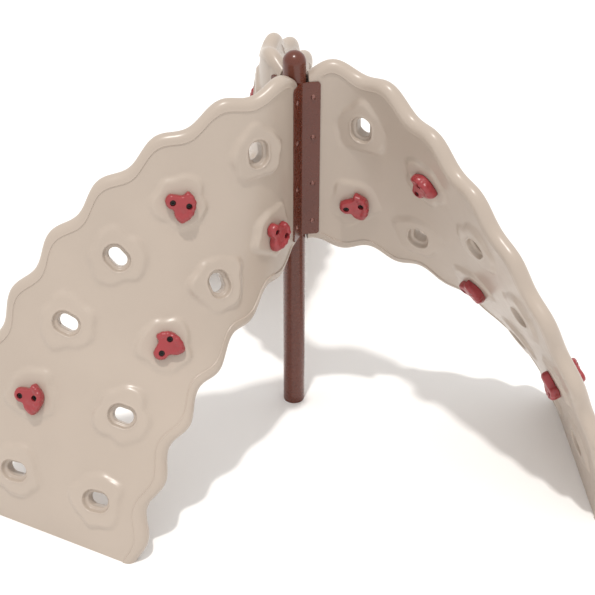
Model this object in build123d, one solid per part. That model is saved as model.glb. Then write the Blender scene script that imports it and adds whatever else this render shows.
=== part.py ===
from build123d import *

import math
import os

# Freestanding climber: three twisted moulded panels bolted to one centre post.
# Units are millimetres. +Z is up, the origin is on the post's axis at the ground,
# and +X is the way the tongue of panel a leaves the post.

# Panels in the ring
PANEL_NAMES = ("a", "b", "c")
PANEL_TURN = -360.0 / len(PANEL_NAMES)

# Post and cap
POST_OD = 88.9
POST_WALL = 3.0
POST_TUBE_HEIGHT = 1571.0
CAP_WALL = 4.0
CAP_SPIGOT_LENGTH = 30.0
CAP_SPIGOT_CLEARANCE = 0.3
CAP_SEAT_LENGTH = 32.0
CAP_SEAT_RELIEF = 1.5

# Panel body
PANEL_THICKNESS = 62.0
PANEL_SKIN = 6.0
PANEL_WIDTH = 808.0
PANEL_REACH = 1148.0
LOWER_EDGE_HEIGHT = 785.0
POST_GAP = 5.55
TONGUE_LENGTH = 46.0
RUN_HEADING = -6.0
RIM_DEPTH = 32.0
SCALLOP_HEIGHT = 19.0
LOWER_SCALLOP_PITCH = 238.5
LOWER_SCALLOP_START = 146.0
UPPER_SCALLOP_PITCH = 262.0
UPPER_SCALLOP_START = 90.0
CORNER_DROP = 60.0
CORNER_LENGTH = 340.0
END_ALLOWANCE = 70.0
SECTION_COUNT = 56
ARC_STEPS = 8
FACE_STEPS = 5
RIM_STEPS = 6

# Places of the lower edge's two inner control points: shares of the panel's reach and of
# the edge's height, the first one's drop, and how far the run swings to the concave side
NEAR_REACH_SHARE = 0.40
NEAR_DROP = 46.0
FAR_REACH_SHARE = 0.85
FAR_HEIGHT_SHARE = 0.62
FAR_SWING = -60.0
FOOT_SWING = -69.0

# Raised pads around every hole and grip
PAD_HEIGHT = 9.0
HOLE_PAD_RADIUS = 98.0
GRIP_PAD_RADIUS = 88.0
PAD_OUTLINE_STEPS = 16
PAD_THREE_LOBE_WAVE = 0.09
PAD_FIVE_LOBE_WAVE = 0.06
GRIP_PAD_PHASE = 0.5

# Flanges and their bolts
FLANGE_THICKNESS = 6.0
FLANGE_LENGTH = 656.0
FLANGE_CENTRE_HEIGHT = 1172.0
FLANGE_REACH = 93.0
FLANGE_CORNER_RADIUS = 12.0
CLAMP_GAP = 0.2
FLANGE_BOLT_OFFSETS = (-267.0, -100.0, 100.0, 267.0)
FLANGE_BOLT_RADIUS = 66.0
FLANGE_BOLT_D = 10.0
BARREL_NUT_D = 13.0
BARREL_NUT_SHORTFALL = 8.0
BOLT_HOLE_CLEARANCE = 0.5
BUTTON_HEAD_D = 21.0
BUTTON_HEAD_HEIGHT = 5.5
DRIVE_SOCKET_D = 6.5
DRIVE_SOCKET_DEPTH = 3.0
THREAD_CLEARANCE = 0.1

# Hand holes
HOLE_LENGTH = 80.0
HOLE_WIDTH = 54.0
HOLE_MOUTH_FLARE = 21.0
HOLE_MOUTH_DEPTH = 24.0

# Grips, their bolts and the inserts moulded into the panel
GRIP_BOLT_SPACING = 60.0
GRIP_HEIGHT = 44.0
GRIP_SHOULDER_SCALE = 0.93
GRIP_TOP_SCALE = 0.70
GRIP_BOLT_D = 10.0
GRIP_BOLT_SEAT = 16.0
GRIP_COUNTERBORE_D = 24.0
GRIP_BOLT_HEAD_D = 17.0
GRIP_BOLT_HEAD_HEIGHT = 10.0
GRIP_BOLT_CLEARANCE = 0.6
GRIP_BOLT_ENGAGEMENT = 18.0
GRIP_BOLT_SOCKET_RADIUS = 4.6
INSERT_BORE_ALLOWANCE = 2.0
INSERT_D = 18.0
INSERT_LENGTH = 24.0
INSERT_CLEARANCE = 0.05

# Rows of stations, measured up from the panel's lower edge along its width
UPPER_ROW = 575.0
LOWER_ROW = 225.0
FOOT_UPPER_ROW = 558.0
FOOT_LOWER_ROW = 206.0

# Hand holes: distance from the tongue's end along the middle line, row, lean in degrees
HOLE_STATIONS = (
    (230.0, UPPER_ROW, 0.0),
    (796.0, UPPER_ROW, 8.0),
    (1065.0, UPPER_ROW, 13.0),
    (513.0, LOWER_ROW, 2.0),
    (1217.0, LOWER_ROW, 15.0),
    (1611.0, FOOT_UPPER_ROW, 9.0),
    (1605.0, FOOT_LOWER_ROW, 9.0),
)

# Grips: number, distance, row, then the turn of the convex and the concave grip
GRIP_STATIONS = (
    (1, 194.0, LOWER_ROW, -127.0, -73.0),
    (2, 529.0, UPPER_ROW, -123.0, -7.0),
    (3, 859.0, LOWER_ROW, -68.0, -34.0),
    (4, 1334.0, UPPER_ROW, -158.0, -75.0),
)

# Outline of a grip with its two bolts at plus and minus 30 along x
GRIP_OUTLINE = (
    (-58, 0),
    (-48, 25),
    (-25, 29),
    (2, 31),
    (18, 50),
    (36, 38),
    (57, 8),
    (52, -32),
    (23, -71),
    (-8, -55),
    (-21, -29),
    (-43, -23),
)

HALF_THICKNESS = PANEL_THICKNESS / 2
PAD_FACE = HALF_THICKNESS + PAD_HEIGHT
TONGUE_END = POST_OD / 2 + POST_GAP
RUN_START = TONGUE_END + TONGUE_LENGTH
RUN_TURN = math.radians(RUN_HEADING)


def turned(x, y, z):
    """A point of the panel's run, turned from the run's heading to the tongue's."""
    cosine, sine = math.cos(RUN_TURN), math.sin(RUN_TURN)
    return Vector(x * cosine - y * sine, x * sine + y * cosine, z)


# Control points of the lower edge, and of the lean and twist of the width line
EDGE_CONTROLS = (
    Vector(RUN_START, 0, LOWER_EDGE_HEIGHT),
    Vector(NEAR_REACH_SHARE * PANEL_REACH, 0, LOWER_EDGE_HEIGHT - NEAR_DROP),
    turned(FAR_REACH_SHARE * PANEL_REACH, FAR_SWING, FAR_HEIGHT_SHARE * LOWER_EDGE_HEIGHT),
    turned(PANEL_REACH, FOOT_SWING, 0),
)
TWIST_CONTROLS = (0.0, 0.0, 0.65, 1.42, math.pi / 2)
SWAY_CONTROLS = (0.0, 0.0, -0.209, 0.223, 0.0)


def bezier(controls, share):
    """Point of a Bezier curve through its end controls."""
    order = len(controls) - 1
    total = controls[0] * (1 - share) ** order
    for index in range(1, order + 1):
        weight = math.comb(order, index) * share**index * (1 - share) ** (order - index)
        total = total + controls[index] * weight
    return total


def bezier_slope(controls, share):
    """First derivative of a Bezier curve."""
    order = len(controls) - 1
    steps = [(controls[i + 1] - controls[i]) * order for i in range(order)]
    return bezier(steps, share)


def lower_edge(share):
    """Mean lower edge, run on in a straight line past both ends."""
    inside = min(1.0, max(0.0, share))
    point = bezier(EDGE_CONTROLS, inside)
    return point + bezier_slope(EDGE_CONTROLS, inside) * (share - inside)


def width_line(share):
    """Direction across the panel, upright at the post and level at the ground."""
    inside = min(1.0, max(0.0, share))
    twist = bezier(TWIST_CONTROLS, inside)
    sway = bezier(SWAY_CONTROLS, inside)
    return turned(sway, -math.sin(twist), math.cos(twist)).normalized()


def middle_surface(share, across):
    """Point of the surface halfway through the panel's thickness."""
    return lower_edge(share) + width_line(share) * across


def convex_normal(share, across):
    """Unit normal of the middle surface, out of the convex face."""
    step = 0.001
    along = middle_surface(share + step, across) - middle_surface(share - step, across)
    return width_line(share).cross(along).normalized()


def surface_point(share, across, offset):
    """Point at an offset from the middle surface, positive out of the convex face."""
    return middle_surface(share, across) + convex_normal(share, across) * offset


def arc_lengths(shares, across):
    """Distances along one lengthwise line, from the first share to each share."""
    lengths = [0.0]
    for start, end in zip(shares, shares[1:]):
        span = 0.0
        last = middle_surface(start, across)
        for step in range(1, ARC_STEPS + 1):
            point = middle_surface(start + (end - start) * step / ARC_STEPS, across)
            span += (point - last).length
            last = point
        lengths.append(lengths[-1] + span)
    return lengths


FIRST_SHARE = -END_ALLOWANCE / bezier_slope(EDGE_CONTROLS, 0.0).length
LAST_SHARE = 1.0 + END_ALLOWANCE / bezier_slope(EDGE_CONTROLS, 1.0).length
SHARE_STEP = (LAST_SHARE - FIRST_SHARE) / SECTION_COUNT
SHARES = [FIRST_SHARE + SHARE_STEP * index for index in range(SECTION_COUNT + 1)]
LOWER_LENGTHS = arc_lengths(SHARES, 0.0)
MIDDLE_LENGTHS = arc_lengths(SHARES, PANEL_WIDTH / 2)
UPPER_LENGTHS = arc_lengths(SHARES, PANEL_WIDTH)
TONGUE_ALLOWANCE = END_ALLOWANCE - TONGUE_LENGTH


def share_at(distance):
    """Share of the run at a distance from the tongue's end along the middle line."""
    target = distance + TONGUE_ALLOWANCE
    for index in range(SECTION_COUNT):
        low, high = MIDDLE_LENGTHS[index], MIDDLE_LENGTHS[index + 1]
        if target <= high:
            return SHARES[index] + SHARE_STEP * (target - low) / (high - low)
    raise ValueError("station lies past the panel's foot")


def scallop(length, start, pitch):
    """How far an edge stands out, with a crest at the start and at each pitch after it."""
    return SCALLOP_HEIGHT * math.cos(2 * math.pi * (length - TONGUE_ALLOWANCE - start) / pitch)


def corner_drop(length):
    """How far the upper edge falls away towards the corner beside the post."""
    left = max(0.0, 1 - (length - TONGUE_ALLOWANCE) / CORNER_LENGTH)
    return CORNER_DROP * left ** 2


def section_wire(index, inset):
    """Closed section of the panel: two faces joined by two rounded rims."""
    share = SHARES[index]
    low = inset - scallop(LOWER_LENGTHS[index], LOWER_SCALLOP_START, LOWER_SCALLOP_PITCH)
    high = PANEL_WIDTH - inset + scallop(UPPER_LENGTHS[index], UPPER_SCALLOP_START, UPPER_SCALLOP_PITCH)
    high -= corner_drop(UPPER_LENGTHS[index])
    half = HALF_THICKNESS - inset
    rim = RIM_DEPTH - inset
    span = high - low - 2 * rim
    convex = [(low + rim + span * k / FACE_STEPS, half) for k in range(FACE_STEPS + 1)]
    concave = [(across, -half) for across, _ in reversed(convex)]
    angles = [math.pi * k / RIM_STEPS for k in range(RIM_STEPS + 1)]
    upper_rim = [(high - rim + rim * math.sin(a), half * math.cos(a)) for a in angles]
    lower_rim = [(low + rim - rim * math.sin(a), -half * math.cos(a)) for a in angles]
    edges = []
    for side in (convex, upper_rim, concave, lower_rim):
        points = [surface_point(share, across, offset) for across, offset in side]
        parameters = [k / (len(points) - 1) for k in range(len(points))]
        edges.append(Edge.make_spline(points, parameters=parameters))
    return Wire(edges)


def station_plane(distance, across, side):
    """Plane on the panel's middle: x up its width, z out of the convex (1) or concave (-1) face."""
    share = share_at(distance)
    normal = convex_normal(share, across) * side
    return Plane(origin=middle_surface(share, across), x_dir=width_line(share), z_dir=normal)


def pad_outline(radius, phase):
    """Wavy closed outline of a raised pad."""
    points = []
    for step in range(PAD_OUTLINE_STEPS):
        angle = 2 * math.pi * step / PAD_OUTLINE_STEPS
        wave = PAD_THREE_LOBE_WAVE * math.cos(3 * angle + phase)
        wave += PAD_FIVE_LOBE_WAVE * math.cos(5 * angle + 2 * phase)
        reach = radius * (1 + wave)
        points.append((reach * math.cos(angle), reach * math.sin(angle)))
    return make_face(Spline(*points, periodic=True))


def station_prism(plane, profile, low, high):
    """Profile pushed out along the station's normal between two heights."""
    return extrude(plane.offset(low) * profile, amount=high - low)


def pads(inset):
    """Raised pads through the whole thickness, shrunk by an inset for the cavity."""
    reach = PAD_FACE - inset
    made = []
    for number, (distance, across, _) in enumerate(HOLE_STATIONS):
        outline = pad_outline(HOLE_PAD_RADIUS - inset, number)
        made.append(station_prism(station_plane(distance, across, 1), outline, -reach, reach))
    for number, distance, across, _, _ in GRIP_STATIONS:
        outline = pad_outline(GRIP_PAD_RADIUS - inset, number + GRIP_PAD_PHASE)
        made.append(station_prism(station_plane(distance, across, 1), outline, -reach, reach))
    return made


def hole_tool(plane, wall):
    """Hand hole with a flared mouth on each face, grown by a wall thickness."""
    waist = SlotOverall(HOLE_LENGTH + 2 * wall, HOLE_WIDTH + 2 * wall)
    flare = 2 * (HOLE_MOUTH_FLARE + wall)
    mouth = SlotOverall(HOLE_LENGTH + flare, HOLE_WIDTH + flare)
    inner = PAD_FACE - HOLE_MOUTH_DEPTH
    tool = station_prism(plane, waist, -inner, inner)
    for side in (1, -1):
        tool += loft([plane.offset(side * inner) * waist, plane.offset(side * PAD_FACE) * mouth])
    for side in (1, -1):
        tool += station_prism(plane, mouth, side * PAD_FACE, side * (PAD_FACE + PAD_HEIGHT))
    return tool


def pad_seat(distance, across, side, turn):
    """Location on a pad's face, z out of the panel, x turned from straight up its width."""
    return station_plane(distance, across, side).offset(PAD_FACE).location * Rot(0, 0, turn)


def grip_bolt_places(distance, across, side, turn):
    """Planes on the pad's face at a grip's two bolts."""
    seat = pad_seat(distance, across, side, turn)
    half = GRIP_BOLT_SPACING / 2
    return [seat * Pos(x, 0, 0) for x in (-half, half)]


def all_grip_bolt_places():
    """Every grip bolt of one panel."""
    places = []
    for _, distance, across, convex_turn, concave_turn in GRIP_STATIONS:
        places += grip_bolt_places(distance, across, 1, convex_turn)
        places += grip_bolt_places(distance, across, -1, concave_turn)
    return places


def flange_bolt_axes():
    """Locations on the tongue's mid-plane at the flange bolts, z along the bolt."""
    return [
        Location((FLANGE_BOLT_RADIUS, 0, FLANGE_CENTRE_HEIGHT + offset), (-90, 0, 0))
        for offset in FLANGE_BOLT_OFFSETS
    ]


def trimmed_loft(inset):
    """Scalloped panel body cut square at the tongue's end and level at the ground."""
    body = Solid.make_loft([section_wire(i, inset) for i in range(SECTION_COUNT + 1)])
    size = 4 * (PANEL_REACH + PANEL_WIDTH)
    behind = Box(size, size, size, align=(Align.MAX, Align.CENTER, Align.CENTER))
    below = Box(size, size, size, align=(Align.CENTER, Align.CENTER, Align.MAX))
    return body - Pos(TONGUE_END + inset, 0, 0) * behind - Pos(0, 0, inset) * below


def make_panel():
    """Hollow moulded panel with pads, hand holes, insert pockets and bolt sleeves."""
    outer = trimmed_loft(0.0).fuse(*pads(0.0))
    cavity = trimmed_loft(PANEL_SKIN).fuse(*pads(PANEL_SKIN))
    hole_planes = [
        Plane(station_plane(distance, across, 1).location * Rot(0, 0, lean))
        for distance, across, lean in HOLE_STATIONS
    ]
    sleeve_radius = BARREL_NUT_D / 2 + BOLT_HOLE_CLEARANCE / 2
    pocket_radius = INSERT_D / 2 + INSERT_CLEARANCE
    walls = [hole_tool(plane, PANEL_SKIN) for plane in hole_planes]
    cuts = [hole_tool(plane, 0.0) for plane in hole_planes]
    for place in all_grip_bolt_places():
        depth = INSERT_LENGTH + PANEL_SKIN
        walls.append(place * Pos(0, 0, -depth / 2) * Cylinder(pocket_radius + PANEL_SKIN, depth))
        cuts.append(place * Pos(0, 0, -INSERT_LENGTH / 2) * Cylinder(pocket_radius, INSERT_LENGTH))
    for axis in flange_bolt_axes():
        walls.append(axis * Cylinder(sleeve_radius + PANEL_SKIN, PANEL_THICKNESS))
        cuts.append(axis * Cylinder(sleeve_radius, 2 * PANEL_THICKNESS))
    cavity = cavity.cut(*walls)
    return outer.cut(*cuts, *cavity.solids())


def make_flange(side):
    """Flat flange plate on one face of the tongue, its back edge fitted to the post."""
    inner_face = HALF_THICKNESS + CLAMP_GAP
    profile = Pos(FLANGE_REACH / 2, FLANGE_CENTRE_HEIGHT) * Rectangle(FLANGE_REACH, FLANGE_LENGTH)
    outer_corners = profile.vertices().group_by(Axis.X)[-1]
    profile = fillet(outer_corners, FLANGE_CORNER_RADIUS)
    plate = extrude(Plane.XZ * profile, amount=FLANGE_THICKNESS)
    start = inner_face + FLANGE_THICKNESS if side > 0 else -inner_face
    plate = Pos(0, start, 0) * plate
    tools = [Cylinder(POST_OD / 2, 4 * POST_TUBE_HEIGHT)]
    hole_radius = BARREL_NUT_D / 2 + BOLT_HOLE_CLEARANCE / 2
    for axis in flange_bolt_axes():
        tools.append(axis * Cylinder(hole_radius, 4 * PANEL_THICKNESS))
    plate = plate.cut(*tools)
    return plate.solids().sort_by(Axis.X)[-1]


def button_head(diameter, height):
    """Low domed head on the XY plane with a drive socket in its crown."""
    radius = (diameter**2 / 4 + height**2) / (2 * height)
    dome = Pos(0, 0, height - radius) * Sphere(radius)
    head = dome & Pos(0, 0, height / 2) * Cylinder(diameter / 2, height)
    socket = Pos(0, 0, height - DRIVE_SOCKET_DEPTH) * extrude(
        RegularPolygon(DRIVE_SOCKET_D / 2, 6), amount=2 * DRIVE_SOCKET_DEPTH
    )
    return head - socket


def make_flange_bolts():
    """Button-head bolts entered from the concave side."""
    face = HALF_THICKNESS + CLAMP_GAP + FLANGE_THICKNESS
    made = []
    for axis in flange_bolt_axes():
        seat = axis * Pos(0, 0, -face) * Rot(180, 0, 0)
        head = button_head(BUTTON_HEAD_D, BUTTON_HEAD_HEIGHT)
        length = 2 * face - BARREL_NUT_SHORTFALL
        shank = Pos(0, 0, -length / 2) * Cylinder(FLANGE_BOLT_D / 2, length)
        made.append(seat * (head + shank))
    return made


def make_flange_nuts():
    """Button-head barrel nuts entered from the convex side."""
    face = HALF_THICKNESS + CLAMP_GAP + FLANGE_THICKNESS
    bore_radius = FLANGE_BOLT_D / 2 + THREAD_CLEARANCE
    made = []
    for axis in flange_bolt_axes():
        seat = axis * Pos(0, 0, face)
        head = button_head(BUTTON_HEAD_D, BUTTON_HEAD_HEIGHT)
        length = face
        barrel = Pos(0, 0, -length / 2) * Cylinder(BARREL_NUT_D / 2, length)
        bore_depth = length - BARREL_NUT_SHORTFALL + THREAD_CLEARANCE
        bore = Pos(0, 0, -length + bore_depth / 2) * Cylinder(bore_radius, bore_depth)
        made.append(seat * (head + barrel - bore))
    return made


def make_grip(distance, across, side, turn):
    """Three-lobed grip, seated flat on its pad, with two counterbored bolt holes."""
    base = make_face(Spline(*GRIP_OUTLINE, periodic=True))
    shoulder = Pos(0, 0, GRIP_HEIGHT / 2) * scale(base, GRIP_SHOULDER_SCALE)
    top = Pos(0, 0, GRIP_HEIGHT) * scale(base, GRIP_TOP_SCALE)
    body = loft([base, shoulder, top])
    for x in (-GRIP_BOLT_SPACING / 2, GRIP_BOLT_SPACING / 2):
        hole = Cylinder(GRIP_BOLT_D / 2 + GRIP_BOLT_CLEARANCE, 4 * GRIP_HEIGHT)
        pocket = Cylinder(GRIP_COUNTERBORE_D / 2, GRIP_HEIGHT)
        pocket = Pos(0, 0, GRIP_BOLT_SEAT + GRIP_HEIGHT / 2) * pocket
        body -= Pos(x, 0, 0) * (hole + pocket)
    return pad_seat(distance, across, side, turn) * body


def make_grip_bolts():
    """Socket-head bolts, seated in the grips' counterbores."""
    made = []
    socket_depth = GRIP_BOLT_HEAD_HEIGHT / 2
    for place in all_grip_bolt_places():
        head = Pos(0, 0, GRIP_BOLT_SEAT + GRIP_BOLT_HEAD_HEIGHT / 2) * Cylinder(
            GRIP_BOLT_HEAD_D / 2, GRIP_BOLT_HEAD_HEIGHT
        )
        length = GRIP_BOLT_SEAT + GRIP_BOLT_ENGAGEMENT
        shank = Pos(0, 0, GRIP_BOLT_SEAT - length / 2) * Cylinder(GRIP_BOLT_D / 2, length)
        top = GRIP_BOLT_SEAT + GRIP_BOLT_HEAD_HEIGHT
        hexagon = RegularPolygon(GRIP_BOLT_SOCKET_RADIUS, 6)
        socket = Pos(0, 0, top - socket_depth) * extrude(hexagon, amount=2 * socket_depth)
        made.append(place * (head + shank - socket))
    return made


def make_inserts():
    """Threaded inserts, flush with the pads."""
    bore_radius = GRIP_BOLT_D / 2 + THREAD_CLEARANCE
    bore_depth = GRIP_BOLT_ENGAGEMENT + INSERT_BORE_ALLOWANCE
    made = []
    for place in all_grip_bolt_places():
        body = Pos(0, 0, -INSERT_LENGTH / 2) * Cylinder(INSERT_D / 2, INSERT_LENGTH)
        bore = Pos(0, 0, -bore_depth / 2) * Cylinder(bore_radius, bore_depth)
        made.append(place * (body - bore))
    return made


def make_post():
    """Round tube from the ground to the cap, counterbored at the top for the cap's spigot."""
    bore_radius = POST_OD / 2 - POST_WALL
    tube = Cylinder(POST_OD / 2, POST_TUBE_HEIGHT) - Cylinder(bore_radius, POST_TUBE_HEIGHT)
    seat = Cylinder(bore_radius + CAP_SEAT_RELIEF, 2 * CAP_SEAT_LENGTH)
    return Pos(0, 0, POST_TUBE_HEIGHT / 2) * tube - Pos(0, 0, POST_TUBE_HEIGHT) * seat


def make_cap():
    """Hollow domed cap with a spigot inside the tube."""
    radius = POST_OD / 2
    spigot_radius = radius - POST_WALL + CAP_SEAT_RELIEF - CAP_SPIGOT_CLEARANCE
    cutaway = Pos(0, 0, -radius) * Box(2 * POST_OD, 2 * POST_OD, POST_OD)
    dome = Sphere(radius) - cutaway
    spigot = Pos(0, 0, -CAP_SPIGOT_LENGTH / 2) * Cylinder(spigot_radius, CAP_SPIGOT_LENGTH)
    hollow = Sphere(spigot_radius - CAP_WALL) + Pos(0, 0, -CAP_SPIGOT_LENGTH / 2) * Cylinder(
        spigot_radius - CAP_WALL, CAP_SPIGOT_LENGTH
    )
    return Pos(0, 0, POST_TUBE_HEIGHT) * (dome + spigot - hollow)


def write(name, solids):
    """One STEP file for one node."""
    children = [Solid(solid.wrapped) for shape in solids for solid in shape.solids()]
    export_step(Compound(children=children), f"parts/{name}.step")


def main():
    """Builds every node and writes it."""
    os.makedirs("parts", exist_ok=True)
    write("centre_post", [make_post()])
    write("post_cap", [make_cap()])
    pieces = {
        "panel": [make_panel()],
        "flange_convex": [make_flange(1)],
        "flange_concave": [make_flange(-1)],
        "flange_bolts": make_flange_bolts(),
        "flange_nuts": make_flange_nuts(),
        "grip_bolts": make_grip_bolts(),
        "grip_inserts": make_inserts(),
    }
    for number, distance, across, convex_turn, concave_turn in GRIP_STATIONS:
        pieces[f"grip_convex_{number}"] = [make_grip(distance, across, 1, convex_turn)]
        pieces[f"grip_concave_{number}"] = [make_grip(distance, across, -1, concave_turn)]
    for index, letter in enumerate(PANEL_NAMES):
        turn = Rot(0, 0, PANEL_TURN * index)
        for name, solids in pieces.items():
            write(f"{name}_{letter}", [turn * solid for solid in solids])


main()
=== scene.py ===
"""Looks of a freestanding climber: three twisted moulded panels round one capped post.

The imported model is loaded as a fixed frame. The moulded panels and the grips are modelled
again in finer detail, the post, plates and fasteners keep their frame shapes and get
their finishes, and a small studio stands round them. Lengths are in metres.
"""

import logging
import math
from dataclasses import dataclass, field
from enum import Enum

import bmesh
import bpy
from mathutils import Matrix, Vector


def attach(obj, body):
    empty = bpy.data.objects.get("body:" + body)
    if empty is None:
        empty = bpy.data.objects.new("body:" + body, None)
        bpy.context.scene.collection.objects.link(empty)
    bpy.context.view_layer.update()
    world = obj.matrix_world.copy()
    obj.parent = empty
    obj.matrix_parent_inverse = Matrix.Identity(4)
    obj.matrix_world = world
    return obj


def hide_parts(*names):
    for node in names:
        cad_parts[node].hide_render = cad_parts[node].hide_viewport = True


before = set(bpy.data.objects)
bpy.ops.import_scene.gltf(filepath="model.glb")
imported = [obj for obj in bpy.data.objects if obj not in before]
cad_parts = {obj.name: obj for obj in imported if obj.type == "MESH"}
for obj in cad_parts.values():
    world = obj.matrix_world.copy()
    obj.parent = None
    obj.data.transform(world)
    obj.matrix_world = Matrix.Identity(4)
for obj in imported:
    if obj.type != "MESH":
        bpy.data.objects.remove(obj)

log = logging.getLogger("climber")

MM = 0.001
BODY = "root"


class Side(Enum):
    """The two faces of a panel, and which way each one looks along the panel's normal."""

    CONVEX = 1
    CONCAVE = -1


class Slot(Enum):
    """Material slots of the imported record."""

    POWDER_COAT = "powder_coat"
    FASTENERS = "coated_fasteners"
    PANEL = "panel_plastic"
    GRIP = "grip_plastic"
    STEEL = "plated_steel"
    BRASS = "insert_brass"


def smooth_step(low: float, high: float, value: float) -> float:
    """Rises smoothly from 0 at low to 1 at high."""
    share = min(1.0, max(0.0, (value - low) / (high - low)))
    return share * share * (3.0 - 2.0 * share)


def bezier(controls: tuple, share: float):
    """Point of a Bezier curve.

    Args:
        controls: numbers or vectors, the first and last of which lie on the curve.
        share: how far along the curve, from 0 to 1.

    Returns:
        A number or a vector, as the controls are.
    """
    order = len(controls) - 1
    total = controls[0] * (1.0 - share) ** order
    for index in range(1, order + 1):
        weight = math.comb(order, index) * share**index * (1.0 - share) ** (order - index)
        total = total + controls[index] * weight
    return total


def bezier_slope(controls: tuple, share: float):
    """First derivative of a Bezier curve.

    Args:
        controls: numbers or vectors, the first and last of which lie on the curve.
        share: how far along the curve, from 0 to 1.

    Returns:
        A number or a vector, as the controls are.
    """
    order = len(controls) - 1
    steps = tuple((controls[i + 1] - controls[i]) * order for i in range(order))
    return bezier(steps, share)


# ---------------------------------------------------------------- finishes


class Graph:
    """A material's node tree, built one node at a time on Object coordinates."""

    noise_middle = (0.3, 0.7)

    def __init__(self, name: str) -> None:
        """Starts a material that holds one shader."""
        self.material = bpy.data.materials.new(name)
        self.material.use_nodes = True
        self.nodes = self.material.node_tree.nodes
        self.links = self.material.node_tree.links
        self.shader = self.nodes["Principled BSDF"]
        self.coordinates = self.nodes.new("ShaderNodeTexCoord").outputs["Object"]

    def constant(self, name: str, value: object) -> None:
        """Sets a value that is the same all over the surface."""
        self.shader.inputs[name].default_value = value

    def noise(self, scale: float, detail: float) -> bpy.types.NodeSocket:
        """Noise over the surface.

        Args:
            scale: grains to the metre.
            detail: how many finer layers it has.

        Returns:
            The noise, from 0 to 1.
        """
        node = self.nodes.new("ShaderNodeTexNoise")
        node.inputs["Scale"].default_value = scale
        node.inputs["Detail"].default_value = detail
        self.links.new(self.coordinates, node.inputs["Vector"])
        return node.outputs["Fac"]

    def spread(self, source: bpy.types.NodeSocket, low: float, high: float) -> bpy.types.NodeSocket:
        """Stretches the middle of a noise between two values.

        Args:
            source: the noise.
            low: value where the noise is low.
            high: value where the noise is high.

        Returns:
            The stretched pattern.
        """
        node = self.nodes.new("ShaderNodeMapRange")
        node.inputs["From Min"].default_value = self.noise_middle[0]
        node.inputs["From Max"].default_value = self.noise_middle[1]
        node.inputs["To Min"].default_value = low
        node.inputs["To Max"].default_value = high
        self.links.new(source, node.inputs["Value"])
        return node.outputs["Result"]

    def blend(self, share: bpy.types.NodeSocket, first: tuple, second: tuple) -> bpy.types.NodeSocket:
        """Colour between two.

        Args:
            share: pattern that runs from 0, the first colour, to 1, the second.
            first: red, green and blue of the first colour.
            second: red, green and blue of the second colour.

        Returns:
            The blended colour.
        """
        node = self.nodes.new("ShaderNodeMix")
        node.data_type = "RGBA"
        node.inputs["A"].default_value = (*first, 1.0)
        node.inputs["B"].default_value = (*second, 1.0)
        self.links.new(share, node.inputs["Factor"])
        return node.outputs["Result"]

    def bump(self, height: bpy.types.NodeSocket, depth: float, strength: float) -> None:
        """Adds relief under any relief already there.

        Args:
            height: the relief's pattern.
            depth: its height in metres.
            strength: how much of it shows.
        """
        normal = self.shader.inputs["Normal"]
        node = self.nodes.new("ShaderNodeBump")
        node.inputs["Strength"].default_value = strength
        node.inputs["Distance"].default_value = depth
        self.links.new(height, node.inputs["Height"])
        for link in list(normal.links):
            self.links.new(link.from_socket, node.inputs["Normal"])
        self.links.new(node.outputs["Normal"], normal)

    def drive(self, socket: bpy.types.NodeSocket, name: str) -> None:
        """Joins a pattern to one of the shader's inputs."""
        self.links.new(socket, self.shader.inputs[name])


@dataclass(frozen=True)
class MouldedPlastic:
    """Coloured polyethylene with the faint grain and mottle of a mould."""

    name: str
    colour: tuple
    shade: float
    roughness: tuple
    grain: float
    grain_depth: float
    mottle: float = 4.0
    ripple_depth: float = 1.6 * MM
    coat: float = 0.0
    coat_roughness: float = 0.25
    refraction: float = 1.5

    def make(self) -> bpy.types.Material:
        """Builds the material."""
        graph = Graph(self.name)
        deep = tuple(value * self.shade for value in self.colour)
        mottle = graph.noise(self.mottle, 4.0)
        graph.drive(graph.blend(graph.spread(mottle, 0.0, 1.0), self.colour, deep), "Base Color")
        wear = graph.noise(self.mottle * 7.0, 3.0)
        graph.drive(graph.spread(wear, *self.roughness), "Roughness")
        graph.bump(graph.noise(self.grain, 2.0), self.grain_depth, 0.35)
        graph.bump(graph.noise(self.mottle * 3.0, 1.0), self.ripple_depth, 0.12)
        graph.constant("IOR", self.refraction)
        graph.constant("Coat Weight", self.coat)
        graph.constant("Coat Roughness", self.coat_roughness)
        return graph.material


@dataclass(frozen=True)
class PowderCoat:
    """Baked powder coat with a fine orange peel."""

    name: str = "brown powder coat"
    colour: tuple = (0.115, 0.025, 0.012)
    deep: tuple = (0.100, 0.021, 0.010)
    cloud: float = 9.0
    wear: float = 40.0
    roughness: tuple = (0.24, 0.32)
    peel: float = 520.0
    peel_depth: float = 0.2 * MM
    coat: float = 0.15
    coat_roughness: float = 0.12

    def make(self) -> bpy.types.Material:
        """Builds the material."""
        graph = Graph(self.name)
        clouds = graph.spread(graph.noise(self.cloud, 4.0), 0.0, 1.0)
        graph.drive(graph.blend(clouds, self.colour, self.deep), "Base Color")
        graph.drive(graph.spread(graph.noise(self.wear, 3.0), *self.roughness), "Roughness")
        graph.bump(graph.noise(self.peel, 1.0), self.peel_depth, 0.25)
        graph.constant("Coat Weight", self.coat)
        graph.constant("Coat Roughness", self.coat_roughness)
        return graph.material


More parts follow.
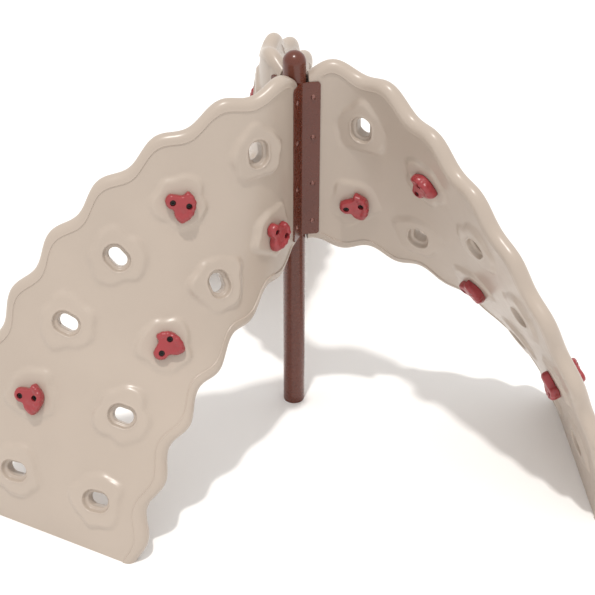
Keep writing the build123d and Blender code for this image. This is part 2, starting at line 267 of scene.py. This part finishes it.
@dataclass(frozen=True)
class Metal:
    """Metal with a faint scatter of dull and bright patches."""

    name: str
    colour: tuple
    metallic: float
    roughness: tuple
    patches: float = 160.0
    shade: float = 0.72
    grain_depth: float = 0.05 * MM

    def make(self) -> bpy.types.Material:
        """Builds the material."""
        graph = Graph(self.name)
        deep = tuple(value * self.shade for value in self.colour)
        patches = graph.noise(self.patches, 4.0)
        graph.drive(graph.blend(graph.spread(patches, 0.0, 1.0), self.colour, deep), "Base Color")
        graph.drive(graph.spread(patches, *self.roughness), "Roughness")
        graph.bump(graph.noise(self.patches * 6.0, 2.0), self.grain_depth, 0.3)
        graph.constant("Metallic", self.metallic)
        return graph.material


@dataclass(frozen=True)
class StudioFloor:
    """Pale seamless floor."""

    colour: tuple = (0.93, 0.925, 0.92)
    roughness: float = 0.9
    specular: float = 0.1

    def make(self) -> bpy.types.Material:
        """Builds the material."""
        graph = Graph("studio floor")
        graph.constant("Base Color", (*self.colour, 1.0))
        graph.constant("Roughness", self.roughness)
        graph.constant("Specular IOR Level", self.specular)
        return graph.material


# ---------------------------------------------------------------- panel form


@dataclass
class PanelSurface:
    """Ruled middle surface of panel a: a bent lower edge and a width line that turns over.

    The width line is upright at the post and lies level, square to the run, at the ground.
    """

    thickness: float = 61.4 * MM
    width: float = 808 * MM
    reach: float = 1148 * MM
    edge_height: float = 785 * MM
    post_radius: float = 88.9 / 2 * MM
    post_gap: float = 5.55 * MM
    tongue: float = 46 * MM
    heading: float = math.radians(-6.0)
    scallop_height: float = 18.5 * MM
    lower_pitch: float = 238.5 * MM
    lower_start: float = 146 * MM
    upper_pitch: float = 262 * MM
    upper_start: float = 90 * MM
    corner_drop: float = 60 * MM
    corner_length: float = 340 * MM
    length_steps: int = 480
    near_reach_share: float = 0.40
    near_drop: float = 46 * MM
    far_reach_share: float = 0.85
    far_height_share: float = 0.62
    far_swing: float = -60 * MM
    foot_swing: float = -69 * MM
    twist: tuple = (0.0, 0.0, 0.65, 1.42, math.pi / 2)
    sway: tuple = (0.0, 0.0, -0.209, 0.223, 0.0)
    edge: tuple = field(init=False)
    first_share: float = field(init=False)
    lengths: dict = field(init=False, default_factory=dict)

    def __post_init__(self) -> None:
        """Works out the lower edge's controls and the lengths along the panel."""
        run_start = self.post_radius + self.post_gap + self.tongue
        far_height = self.far_height_share * self.edge_height
        self.edge = (
            Vector((run_start, 0.0, self.edge_height)),
            Vector((self.near_reach_share * self.reach, 0.0, self.edge_height - self.near_drop)),
            self.turned(self.far_reach_share * self.reach, self.far_swing, far_height),
            self.turned(self.reach, self.foot_swing, 0.0),
        )
        self.first_share = -self.tongue / bezier_slope(self.edge, 0.0).x
        for across in (0.0, self.width / 2, self.width):
            self.lengths[across] = self.measured(across)

    def turned(self, x: float, y: float, z: float) -> Vector:
        """A point of the run, turned from the run's heading to the tongue's."""
        cosine, sine = math.cos(self.heading), math.sin(self.heading)
        return Vector((x * cosine - y * sine, x * sine + y * cosine, z))

    def lower_edge(self, share: float) -> Vector:
        """Mean lower edge, run on in a straight line past both ends."""
        inside = min(1.0, max(0.0, share))
        return bezier(self.edge, inside) + bezier_slope(self.edge, inside) * (share - inside)

    def width_line(self, share: float) -> Vector:
        """Direction across the panel.

        Args:
            share: place along the run, 0 at the post and 1 at the foot.

        Returns:
            A unit vector from the lower edge to the upper.
        """
        inside = min(1.0, max(0.0, share))
        twist, sway = bezier(self.twist, inside), bezier(self.sway, inside)
        return self.turned(sway, -math.sin(twist), math.cos(twist)).normalized()

    def middle(self, share: float, across: float) -> Vector:
        """Point halfway through the panel's thickness."""
        return self.lower_edge(share) + self.width_line(share) * across

    def normal(self, share: float, across: float) -> Vector:
        """Unit normal out of the convex face.

        Args:
            share: place along the run.
            across: distance up the width line.

        Returns:
            The normal.
        """
        step = 0.001
        along = self.middle(share + step, across) - self.middle(share - step, across)
        return self.width_line(share).cross(along).normalized()

    def measured(self, across: float) -> list[float]:
        """Distances from the tongue's end along one lengthwise line.

        Args:
            across: the line's distance up the width line.

        Returns:
            The distances at even steps of share.
        """
        lengths = [0.0]
        last = self.middle(self.first_share, across)
        for index in range(1, self.length_steps + 1):
            point = self.middle(self.share(index / self.length_steps), across)
            lengths.append(lengths[-1] + (point - last).length)
            last = point
        return lengths

    def share(self, part: float) -> float:
        """Share of the run at a part of the way from the tongue's end to the foot."""
        return self.first_share + (1.0 - self.first_share) * part

    def length_at(self, share: float, across: float) -> float:
        """Distance from the tongue's end along a lengthwise line.

        Args:
            share: place along the run.
            across: which line: the lower edge, the middle or the upper edge.

        Returns:
            The distance.
        """
        table = self.lengths[across]
        place = (share - self.first_share) / (1.0 - self.first_share) * self.length_steps
        index = min(self.length_steps - 1, max(0, int(place)))
        return table[index] + (table[index + 1] - table[index]) * (place - index)

    def share_at(self, distance: float) -> float:
        """Place along the run, found by distance.

        Args:
            distance: distance from the tongue's end along the middle line.

        Returns:
            The share.
        """
        table = self.lengths[self.width / 2]
        index = next(i for i in range(self.length_steps) if distance <= table[i + 1])
        part = index + (distance - table[index]) / (table[index + 1] - table[index])
        return self.share(part / self.length_steps)

    def edges_at(self, share: float) -> tuple[float, float]:
        """Scalloped lower and upper edges, the upper one falling away beside the post.

        Args:
            share: place along the run.

        Returns:
            Both edges' distances up the width line.
        """
        full_turn = 2.0 * math.pi
        lower = self.length_at(share, 0.0)
        upper = self.length_at(share, self.width)
        low = -self.scallop_height * math.cos(full_turn * (lower - self.lower_start) / self.lower_pitch)
        wave = self.scallop_height * math.cos(full_turn * (upper - self.upper_start) / self.upper_pitch)
        fall = self.corner_drop * max(0.0, 1.0 - upper / self.corner_length) ** 2
        return low, self.width + wave - fall

    def foot_share(self, across: float, offset: float) -> float:
        """Share at which a lengthwise line meets the ground.

        Args:
            across: the line's distance up the width line.
            offset: its distance out of the middle surface, on the convex side.

        Returns:
            The share.
        """
        normal = self.normal(1.0, across)
        return 1.0 - offset * normal.z / bezier_slope(self.edge, 1.0).z

    def station(self, distance: float, across: float, side: Side) -> Matrix:
        """Frame on the middle surface: x up the width, z out of the chosen face.

        Args:
            distance: distance from the tongue's end along the middle line.
            across: distance up the width line.
            side: the face that z looks out of.

        Returns:
            The frame as a matrix.
        """
        share = self.share_at(distance)
        z_axis = self.normal(share, across) * side.value
        x_axis = self.width_line(share)
        y_axis = z_axis.cross(x_axis)
        turn = Matrix((x_axis, y_axis, z_axis)).transposed().to_4x4()
        return Matrix.Translation(self.middle(share, across)) @ turn


def ring_edges(verts: list) -> list:
    """Edges that join the points of one ring."""
    return list({edge for vertex in verts for edge in vertex.link_edges})


@dataclass(frozen=True)
class HandHole:
    """A hand hole: its place along the panel, its row, and its lean from the width line."""

    distance: float
    row: float
    lean: float


@dataclass(frozen=True)
class GripPlace:
    """A pair of grips back to back, each turned its own way."""

    number: int
    distance: float
    row: float
    convex_turn: float
    concave_turn: float

    def turn(self, side: Side) -> float:
        """Turn of the grip on one face, in radians."""
        return math.radians(self.convex_turn if side is Side.CONVEX else self.concave_turn)


UPPER_ROW = 575 * MM
LOWER_ROW = 225 * MM
FOOT_UPPER_ROW = 558 * MM
FOOT_LOWER_ROW = 206 * MM

HAND_HOLES = (
    HandHole(230 * MM, UPPER_ROW, 0.0),
    HandHole(796 * MM, UPPER_ROW, 8.0),
    HandHole(1065 * MM, UPPER_ROW, 13.0),
    HandHole(513 * MM, LOWER_ROW, 2.0),
    HandHole(1217 * MM, LOWER_ROW, 15.0),
    HandHole(1611 * MM, FOOT_UPPER_ROW, 9.0),
    HandHole(1605 * MM, FOOT_LOWER_ROW, 9.0),
)
GRIP_PLACES = (
    GripPlace(1, 194 * MM, LOWER_ROW, -127.0, -73.0),
    GripPlace(2, 529 * MM, UPPER_ROW, -123.0, -7.0),
    GripPlace(3, 859 * MM, LOWER_ROW, -68.0, -34.0),
    GripPlace(4, 1334 * MM, UPPER_ROW, -158.0, -75.0),
)
PAD_FACE = 40 * MM


@dataclass
class Pad:
    """Soft-shouldered raised pad with a wavy outline, flat where a hole or a grip sits."""

    seat: Matrix
    radius: float
    phase: float
    height: float = PAD_FACE
    shoulder: float = 24 * MM
    reach: float = 165 * MM
    waves: tuple = ((3.0, 1.0, 0.085), (5.0, 2.0, 0.06), (8.0, -1.0, 0.03))

    def __post_init__(self) -> None:
        """Keeps the way back from the panel's frame to the pad's."""
        self.back = self.seat.inverted()

    def outline(self, angle: float) -> float:
        """Distance from the middle to the top edge of the shoulder."""
        wave = sum(size * math.cos(count * angle + turn * self.phase) for count, turn, size in self.waves)
        return self.radius * (1.0 + wave)

    def lifted(self, point: Vector) -> Vector:
        """Lifts the panel's face to the pad's.

        Args:
            point: a point of the panel's face.

        Returns:
            The point, moved where the pad covers it.
        """
        local = self.back @ point
        distance = math.hypot(local.x, local.y)
        if distance > self.reach or local.z < 0.0:
            return point
        edge = self.outline(math.atan2(local.y, local.x))
        share = smooth_step(edge + self.shoulder, edge, distance)
        local.z += (self.height - local.z) * share
        return self.seat @ local


@dataclass
class PanelForm:
    """Builds the moulded panel: a sheet rolled round its section, bent, padded and pierced."""

    surface: PanelSurface
    columns: int = 236
    face_rows: int = 96
    rim_rows: int = 14
    rim: float = 32 * MM
    crease: float = 43 * MM
    crease_half: float = 2.4 * MM
    crease_depth: float = 2.2 * MM
    bead_height: float = 1.6 * MM
    recess: float = 2.2 * MM
    plain_tongue: tuple = (42 * MM, 60 * MM)
    end_round: float = 1.2 * MM
    tight_rows: tuple = (-2.6, -1.9, -1.3, -0.8, -0.4, 0.0, 0.5, 1.1, 2.0)
    last_tight_row: float = 5.0
    bead_place: float = 1.3
    hole_straight: float = 26 * MM
    hole_radius: float = 27 * MM
    ring_points: int = 64
    clearing: float = 27 * MM
    hole_pad: float = 92 * MM
    grip_pad: float = 86 * MM

    def crease_rows(self) -> list[float]:
        """Distances in from an edge at which rows lie close together, for the crease."""
        tight = [self.crease + self.crease_half * k for k in self.tight_rows]
        return [self.rim, *tight, self.crease + self.last_tight_row * self.crease_half]

    def section(self, low: float, high: float) -> list[tuple[float, float, float]]:
        """Rows round the panel's section.

        Args:
            low: the lower edge's distance up the width line.
            high: the upper edge's.

        Returns:
            For each row, its distance up the width line, its offset out of the middle surface
            and its distance in from the nearer edge.
        """
        near = self.crease_rows()
        inner = near[-1]
        span = high - low - 2.0 * inner
        face = [low + value for value in near]
        face += [low + inner + span * k / self.face_rows for k in range(1, self.face_rows)]
        face += [high - value for value in reversed(near)]
        half = self.surface.thickness / 2
        rows = [(across, half, min(across - low, high - across)) for across in face]
        angles = [math.pi * k / self.rim_rows for k in range(1, self.rim_rows)]
        rim_drop = [self.rim * (1.0 - math.sin(angle)) for angle in angles]
        rows += [(high - drop, half * math.cos(a), drop) for drop, a in zip(rim_drop, angles)]
        rows += [(across, -half, min(across - low, high - across)) for across in reversed(face)]
        rows += [(low + drop, -half * math.cos(a), drop) for drop, a in zip(rim_drop, angles)]
        return rows

    def relief(self, inward: float, distance: float) -> float:
        """How far the face lies under its full thickness, by the bead, the crease and the recess.

        Args:
            inward: distance in from the nearer edge.
            distance: distance from the tongue's end, where the face stays plain between the flanges.

        Returns:
            The depth, negative on the bead.
        """
        beyond = (inward - self.crease) / self.crease_half
        groove = self.crease_depth * math.exp(-(beyond**2))
        groove -= self.bead_height * math.exp(-((beyond + self.bead_place) ** 2))
        sunk = self.recess * smooth_step(-1.0, 2.0, beyond)
        free = smooth_step(*self.plain_tongue, distance)
        return (groove + sunk) * free

    def pads(self, side: Side) -> list[Pad]:
        """Every pad of one face.

        Args:
            side: the face.

        Returns:
            The pads, hand holes' first.
        """
        made = []
        for number, hole in enumerate(HAND_HOLES):
            seat = self.surface.station(hole.distance, hole.row, side)
            made.append(Pad(seat, self.hole_pad, side.value * number))
        for place in GRIP_PLACES:
            seat = self.surface.station(place.distance, place.row, side)
            made.append(Pad(seat, self.grip_pad, side.value * (place.number + 0.5)))
        return made

    def bent_sheet(self) -> bmesh.types.BMesh:
        """Rolls a flat sheet round the section and bends it along the run."""
        surface = self.surface
        rows = len(self.section(0.0, surface.width))
        form = bmesh.new()
        bmesh.ops.create_grid(form, x_segments=self.columns, y_segments=rows, size=1.0)
        pads = {side: self.pads(side) for side in Side}
        half = surface.thickness / 2
        sections: dict[int, list[tuple[float, float, float]]] = {}
        for vertex in form.verts:
            part = (vertex.co.x + 1.0) / 2.0
            column = round(part * self.columns)
            row = round((vertex.co.y + 1.0) / 2.0 * rows) % rows
            if column not in sections:
                sections[column] = self.section(*surface.edges_at(surface.share(part)))
            across, offset, inward = sections[column][row]
            foot = surface.foot_share(across, offset)
            share = surface.first_share + (foot - surface.first_share) * part
            side = Side.CONVEX if offset > 0.0 else Side.CONCAVE
            if abs(offset) > half - 1e-6:
                distance = surface.length_at(surface.share(part), surface.width / 2)
                offset -= side.value * self.relief(inward, distance)
            point = surface.middle(share, across) + surface.normal(share, across) * offset
            if abs(offset) > half / 2:
                for pad in pads[side]:
                    point = pad.lifted(point)
            if column == self.columns:
                point.z = 0.0
            vertex.co = point
        bmesh.ops.remove_doubles(form, verts=form.verts, dist=1e-5)
        return form

    def close_ends(self, form: bmesh.types.BMesh) -> None:
        """Closes the tongue and the foot and eases their corners.

        Args:
            form: the bent sheet, open at both ends.
        """
        open_edges = [edge for edge in form.edges if edge.is_boundary]
        caps = bmesh.ops.holes_fill(form, edges=open_edges, sides=0)["faces"]
        log.info("panel ends closed: %d", len(caps))
        corners = [edge for face in caps for edge in face.edges]
        bmesh.ops.bevel(
            form, geom=corners, offset=self.end_round, segments=2, profile=0.5, affect="EDGES",
            material=-1, clamp_overlap=True,
        )

    def inside_slot(self, point: Vector, grown: float) -> bool:
        """Whether a point in a hole's frame lies inside the slot grown by an outset."""
        beyond = max(0.0, abs(point.x) - self.hole_straight / 2)
        return math.hypot(beyond, point.y) < self.hole_radius + grown

    def mouth_profile(self) -> list[tuple[float, float]]:
        """Outset and height of the rings from the pad's face, over the lip, down to the slot."""
        steps = (
            (24.0, 0.0), (21.8, 0.9), (19.6, 1.5), (17.4, 0.8), (15.8, -1.2), (14.6, -4.6),
            (13.4, -9.5), (12.2, -14.0), (10.6, -16.8), (8.2, -18.2), (4.2, -19.2), (1.8, -20.4),
            (0.4, -22.6), (0.0, -25.5), (0.0, -34.0),
        )
        return [(outset * MM, PAD_FACE + height * MM) for outset, height in steps]

    def ring(self, form: bmesh.types.BMesh, seat: Matrix, outset: float, height: float) -> list:
        """One slot-shaped ring.

        Args:
            form: the mesh that it joins.
            seat: the hole's frame.
            outset: how far outside the slot's outline it runs.
            height: its height above the middle surface.

        Returns:
            The ring's edges.
        """
        radius = self.hole_radius + outset
        made = bmesh.ops.create_circle(form, segments=self.ring_points, radius=radius)["verts"]
        for vertex in made:
            shift = math.copysign(self.hole_straight / 2, vertex.co.x)
            vertex.co = Vector((vertex.co.x + shift, vertex.co.y, height))
        bmesh.ops.transform(form, matrix=seat, verts=made)
        return ring_edges(made)

    def cleared_loop(self, form: bmesh.types.BMesh, seat: Matrix, side: Side) -> list:
        """Clears one face over a hole's mouth.

        Args:
            form: the panel.
            seat: the hole's frame.
            side: the face.

        Returns:
            The edges round the clearing.
        """
        back = seat.inverted()
        doomed = set()
        for vertex in form.verts:
            local = back @ vertex.co
            if 0.0 < local.z * side.value < 2.0 * PAD_FACE and self.inside_slot(local, self.clearing):
                doomed.update(vertex.link_faces)
        border = {edge for face in doomed for edge in face.edges}
        bmesh.ops.delete(form, geom=list(doomed), context="FACES")
        return [edge for edge in border if edge.is_valid and edge.is_boundary]

    def pierce(self, form: bmesh.types.BMesh, hole: HandHole) -> None:
        """Cuts one hand hole through the panel, with a lipped mouth on each face.

        Args:
            form: the panel.
            hole: the hand hole.
        """
        lean = Matrix.Rotation(math.radians(hole.lean), 4, "Z")
        seat = self.surface.station(hole.distance, hole.row, Side.CONVEX) @ lean
        profile = self.mouth_profile()
        profile += [(outset, -height) for outset, height in reversed(profile)]
        loops = {side: self.cleared_loop(form, seat, side) for side in Side}
        rings = [self.ring(form, seat, outset, height) for outset, height in profile]
        for upper, lower in zip(rings, rings[1:]):
            bmesh.ops.bridge_loops(form, edges=upper + lower)
        normal = seat.to_3x3() @ Vector((0.0, 0.0, 1.0))
        for side, rim in ((Side.CONVEX, rings[0]), (Side.CONCAVE, rings[-1])):
            bmesh.ops.triangle_fill(
                form, use_beauty=True, use_dissolve=False, edges=loops[side] + rim,
                normal=normal * side.value,
            )

    def build(self) -> bmesh.types.BMesh:
        """The whole panel, as panel a stands."""
        form = self.bent_sheet()
        self.close_ends(form)
        for hole in HAND_HOLES:
            self.pierce(form, hole)
        bmesh.ops.recalc_face_normals(form, faces=form.faces)
        return form


# ---------------------------------------------------------------- grips


def finished_mesh(thing: bpy.types.Object, name: str) -> bpy.types.Mesh:
    """Applies an object's modifiers and removes the object.

    Args:
        thing: the object.
        name: the mesh's name.

    Returns:
        The finished mesh.
    """
    graph = bpy.context.evaluated_depsgraph_get()
    mesh = bpy.data.meshes.new_from_object(thing.evaluated_get(graph))
    mesh.name = name
    bpy.data.objects.remove(thing)
    return mesh


def working_object(form: bmesh.types.BMesh, name: str) -> bpy.types.Object:
    """Puts a finished form on a new object in the scene.

    Args:
        form: the form, which is freed.
        name: the object's name.

    Returns:
        The object.
    """
    mesh = bpy.data.meshes.new(name)
    form.to_mesh(mesh)
    form.free()
    thing = bpy.data.objects.new(name, mesh)
    bpy.context.scene.collection.objects.link(thing)
    return thing


@dataclass(frozen=True)
class Lobe:
    """A rounded swelling of a grip: its middle, half width, top and half height, in millimetres."""

    x: float
    y: float
    radius: float
    top: float
    half_height: float


@dataclass
class GripForm:
    """A three-lobed grip: low body, rounded ridge round its outer side, two sunk bolt seats."""

    outline: tuple = (
        (-58, 0), (-48, 25), (-25, 29), (2, 31), (18, 50), (36, 38),
        (57, 8), (52, -32), (23, -71), (-8, -55), (-21, -29), (-43, -23),
    )
    tiers: tuple = ((1.0, 0.0), (1.0, 14.0), (0.985, 21.0), (0.95, 26.5), (0.90, 30.0), (0.83, 32.0))
    ridge: tuple = (
        Lobe(19, 37, 12, 35, 16), Lobe(31, 29, 14, 39, 17), Lobe(41, 14, 15, 42, 18),
        Lobe(43, -5, 15, 43, 18), Lobe(40, -24, 16, 43.5, 19), Lobe(31, -40, 17, 42, 20),
        Lobe(18, -50, 17, 39, 20), Lobe(6, -42, 17, 36, 19),
    )
    crown: Lobe = Lobe(18, -8, 34, 36.5, 14)
    thumb: Lobe = Lobe(-33, 3, 23, 34.5, 12)
    bolt_spacing: float = 60 * MM
    bolt_seat: float = 16 * MM
    counterbore: float = 23 * MM
    cutter_depth: float = 60 * MM
    outline_points: int = 96
    voxel: float = 2.2 * MM
    smoothing: int = 16
    crease_angle: float = math.radians(42.0)

    def outline_point(self, part: float) -> Vector:
        """Point of the smooth closed curve through the outline's points.

        Args:
            part: how far round, from 0 to 1.

        Returns:
            The point, on the grip's base.
        """
        count = len(self.outline)
        place = part * count
        rest = place - int(place)
        nearest = [self.outline[(int(place) + k) % count] for k in (-1, 0, 1, 2)]
        first, start, end, last = (Vector(corner) for corner in nearest)
        point = start * 2.0 + (end - first) * rest
        point += (first * 2.0 - start * 5.0 + end * 4.0 - last) * rest**2
        point += (start * 3.0 - first - end * 3.0 + last) * rest**3
        return (point * 0.5 * MM).to_3d()

    def body(self, form: bmesh.types.BMesh) -> None:
        """Low body: the outline drawn up in tiers that round its top edge.

        Args:
            form: the mesh that it joins.
        """
        last = []
        for size, height in self.tiers:
            made = bmesh.ops.create_circle(form, segments=self.outline_points, radius=1.0)["verts"]
            for index, vertex in enumerate(made):
                vertex.co = self.outline_point(index / self.outline_points) * size
                vertex.co.z = height * MM
            edges = ring_edges(made)
            if last:
                bmesh.ops.bridge_loops(form, edges=last + edges)
            last = edges
        bmesh.ops.holes_fill(form, edges=[edge for edge in form.edges if edge.is_boundary], sides=0)
        bmesh.ops.recalc_face_normals(form, faces=form.faces)

    def swell(self, form: bmesh.types.BMesh, lobe: Lobe) -> None:
        """Adds one rounded swelling.

        Args:
            form: the mesh that it joins.
            lobe: the swelling.
        """
        place = Matrix.Translation((lobe.x * MM, lobe.y * MM, (lobe.top - lobe.half_height) * MM))
        flatten = Matrix.Diagonal((1.0, 1.0, lobe.half_height / lobe.radius, 1.0))
        bmesh.ops.create_uvsphere(
            form, u_segments=24, v_segments=16, radius=lobe.radius * MM, matrix=place @ flatten
        )

    def bolt_seats(self) -> bpy.types.Object:
        """Cutter for the two counterbores."""
        form = bmesh.new()
        radius = self.counterbore / 2
        middle = self.bolt_seat + self.cutter_depth / 2
        for x in (-self.bolt_spacing / 2, self.bolt_spacing / 2):
            bmesh.ops.create_cone(
                form, cap_ends=True, segments=40, radius1=radius, radius2=radius,
                depth=self.cutter_depth, matrix=Matrix.Translation((x, 0.0, middle)),
            )
        return working_object(form, "bolt seats")

    def build(self) -> bpy.types.Mesh:
        """Melts body and swellings into one skin, smooths it and sinks the bolt seats."""
        form = bmesh.new()
        self.body(form)
        for lobe in (*self.ridge, self.crown, self.thumb):
            self.swell(form, lobe)
        thing = working_object(form, "grip blank")
        melt = thing.modifiers.new("melt", "REMESH")
        melt.mode = "VOXEL"
        melt.voxel_size = self.voxel
        blank = finished_mesh(thing, "grip blank")

        form = bmesh.new()
        form.from_mesh(blank)
        for _ in range(self.smoothing):
            bmesh.ops.smooth_vert(
                form, verts=form.verts, factor=0.5, use_axis_x=True, use_axis_y=True, use_axis_z=True
            )
        for vertex in form.verts:
            vertex.co.z = max(0.0, vertex.co.z)
        thing = working_object(form, "grip blank")
        cutter = self.bolt_seats()
        sink = thing.modifiers.new("sink", "BOOLEAN")
        sink.operation = "DIFFERENCE"
        sink.object = cutter
        mesh = finished_mesh(thing, "grip")
        bpy.data.objects.remove(cutter)
        for polygon in mesh.polygons:
            polygon.use_smooth = True
        mesh.set_sharp_from_angle(angle=self.crease_angle)
        return mesh


# ---------------------------------------------------------------- assembly


@dataclass
class Climber:
    """The whole climber: three panel assemblies round the post."""

    surface: PanelSurface = field(default_factory=PanelSurface)
    letters: str = "abc"
    panel_sharp_angle: float = math.radians(50.0)
    carried: tuple = (
        ("centre_post", Slot.POWDER_COAT),
        ("post_cap", Slot.POWDER_COAT),
        ("flange_convex", Slot.POWDER_COAT),
        ("flange_concave", Slot.POWDER_COAT),
        ("flange_bolts", Slot.FASTENERS),
        ("flange_nuts", Slot.FASTENERS),
        ("grip_bolts", Slot.STEEL),
        ("grip_inserts", Slot.BRASS),
    )

    def finishes(self) -> dict[Slot, bpy.types.Material]:
        """Builds the finish of every slot."""
        return {
            Slot.POWDER_COAT: PowderCoat().make(),
            Slot.FASTENERS: Metal("coated button heads", (0.30, 0.15, 0.13), 0.8, (0.14, 0.22)).make(),
            Slot.PANEL: MouldedPlastic(
                name="sand moulded plastic", colour=(0.455, 0.382, 0.322), shade=0.95,
                roughness=(0.28, 0.36), grain=900.0, grain_depth=0.12 * MM, coat=0.1,
            ).make(),
            Slot.GRIP: MouldedPlastic(
                name="red grip plastic", colour=(0.32, 0.034, 0.040), shade=0.86,
                roughness=(0.28, 0.38), grain=1100.0, grain_depth=0.1 * MM, mottle=18.0, coat=0.15,
            ).make(),
            Slot.STEEL: Metal("black plated steel", (0.035, 0.028, 0.026), 0.6, (0.40, 0.55)).make(),
            Slot.BRASS: Metal("insert brass", (0.62, 0.44, 0.17), 1.0, (0.30, 0.42)).make(),
        }

    def ring_turn(self, letter: str) -> Matrix:
        """Turn from panel a's place to another panel's."""
        share = self.letters.index(letter) / len(self.letters)
        return Matrix.Rotation(-2.0 * math.pi * share, 4, "Z")

    def add(
        self, name: str, mesh: bpy.types.Mesh, node: str, slot: Slot, finish: bpy.types.Material
    ) -> None:
        """Puts one finished piece on the body in place of its frame node.

        Args:
            name: the piece's name.
            mesh: its mesh, already in place.
            node: the frame node that it stands in for.
            slot: its material slot; not used.
            finish: its material.
        """
        mesh.materials.clear()
        mesh.materials.append(finish)
        piece = bpy.data.objects.new(name, mesh)
        bpy.context.scene.collection.objects.link(piece)
        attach(piece, BODY)
        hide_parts(node)
        log.info("%s: %d faces", name, len(mesh.polygons))

    def add_panels(self, finish: bpy.types.Material) -> None:
        """Models one panel and sets it round the post three times.

        Args:
            finish: the panels' material.
        """
        form = PanelForm(self.surface).build()
        first = bpy.data.meshes.new("moulded panel")
        form.to_mesh(first)
        form.free()
        for polygon in first.polygons:
            polygon.use_smooth = True
        first.set_sharp_from_angle(angle=self.panel_sharp_angle)
        for letter in self.letters:
            mesh = first.copy()
            mesh.transform(self.ring_turn(letter))
            self.add(f"moulded_panel_{letter}", mesh, f"panel_{letter}", Slot.PANEL, finish)

    def add_grips(self, finish: bpy.types.Material) -> None:
        """Models one grip and bolts it on at every place, on both faces.

        Args:
            finish: the grips' material.
        """
        grip = GripForm().build()
        for letter in self.letters:
            for place in GRIP_PLACES:
                for side in Side:
                    seat = self.surface.station(place.distance, place.row, side)
                    seat = seat @ Matrix.Translation((0.0, 0.0, PAD_FACE))
                    seat = seat @ Matrix.Rotation(place.turn(side), 4, "Z")
                    mesh = grip.copy()
                    mesh.transform(self.ring_turn(letter) @ seat)
                    label = f"{side.name.lower()}_{place.number}_{letter}"
                    self.add(f"climbing_grip_{label}", mesh, f"grip_{label}", Slot.GRIP, finish)

    def dress_frame(self, finishes: dict[Slot, bpy.types.Material]) -> None:
        """Gives the frame nodes that stay their finishes.

        Args:
            finishes: the material of every slot.
        """
        for node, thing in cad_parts.items():
            for prefix, slot in self.carried:
                if node.startswith(prefix):
                    thing.data.materials.clear()
                    thing.data.materials.append(finishes[slot])
                    log.info("%s: %s", node, finishes[slot].name)

    def build(self) -> None:
        """Builds and dresses every piece."""
        finishes = self.finishes()
        self.dress_frame(finishes)
        self.add_grips(finishes[Slot.GRIP])
        self.add_panels(finishes[Slot.PANEL])


# ---------------------------------------------------------------- studio


@dataclass
class Studio:
    """Pale floor, one high soft sun, a bright sky and the camera."""

    floor_size: float = 30.0
    camera_place: tuple = (-0.771, -4.673, 3.732)
    camera_pitch: float = 55.85
    camera_heading: float = -9.2
    focal_length: float = 84.08
    sensor: float = 36.0
    camera_shift: float = 0.0114
    sun_way: tuple = (0.07, 0.21, -1.0)
    sun_strength: float = 1.6
    sun_softness: float = 2.6
    sky_strength: float = 0.95
    sky_colour: tuple = (1.0, 0.985, 0.965)
    sun_colour: tuple = (1.0, 0.97, 0.93)

    def add_floor(self) -> None:
        """Floor under the climber."""
        form = bmesh.new()
        bmesh.ops.create_grid(form, x_segments=4, y_segments=4, size=self.floor_size / 2)
        floor = working_object(form, "studio_floor")
        floor.data.materials.append(StudioFloor().make())

    def add_sky(self) -> None:
        """Even light from all round."""
        world = bpy.data.worlds.new("studio sky")
        world.use_nodes = True
        background = world.node_tree.nodes["Background"]
        background.inputs["Color"].default_value = (*self.sky_colour, 1.0)
        background.inputs["Strength"].default_value = self.sky_strength
        bpy.context.scene.world = world

    def add_sun(self) -> None:
        """High soft sun, a little behind the camera."""
        heading = Matrix.Rotation(math.radians(self.camera_heading), 3, "Z")
        way = heading @ Vector(self.sun_way)
        light = bpy.data.lights.new("studio sun", "SUN")
        light.energy = self.sun_strength
        light.angle = math.radians(self.sun_softness)
        light.color = self.sun_colour
        sun = bpy.data.objects.new("studio sun", light)
        sun.rotation_euler = way.to_track_quat("-Z", "Y").to_euler()
        bpy.context.scene.collection.objects.link(sun)

    def add_camera(self) -> None:
        """Camera above the ground, looking down past the left panel."""
        lens = bpy.data.cameras.new("camera")
        lens.sensor_fit = "HORIZONTAL"
        lens.sensor_width = self.sensor
        lens.lens = self.focal_length
        lens.shift_x = self.camera_shift
        camera = bpy.data.objects.new("camera", lens)
        camera.location = self.camera_place
        pitch, heading = math.radians(self.camera_pitch), math.radians(self.camera_heading)
        camera.rotation_euler = (pitch, 0.0, heading)
        bpy.context.scene.collection.objects.link(camera)
        bpy.context.scene.camera = camera

    def build(self) -> None:
        """Sets up the studio."""
        self.add_floor()
        self.add_sky()
        self.add_sun()
        self.add_camera()
        bpy.context.scene.view_settings.view_transform = "Standard"


def main() -> None:
    """Builds the climber and its studio."""
    logging.basicConfig(level=logging.INFO, format="%(message)s")
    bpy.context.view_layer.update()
    Climber().build()
    Studio().build()
    bpy.context.view_layer.update()


if __name__ == "__main__":
    main()
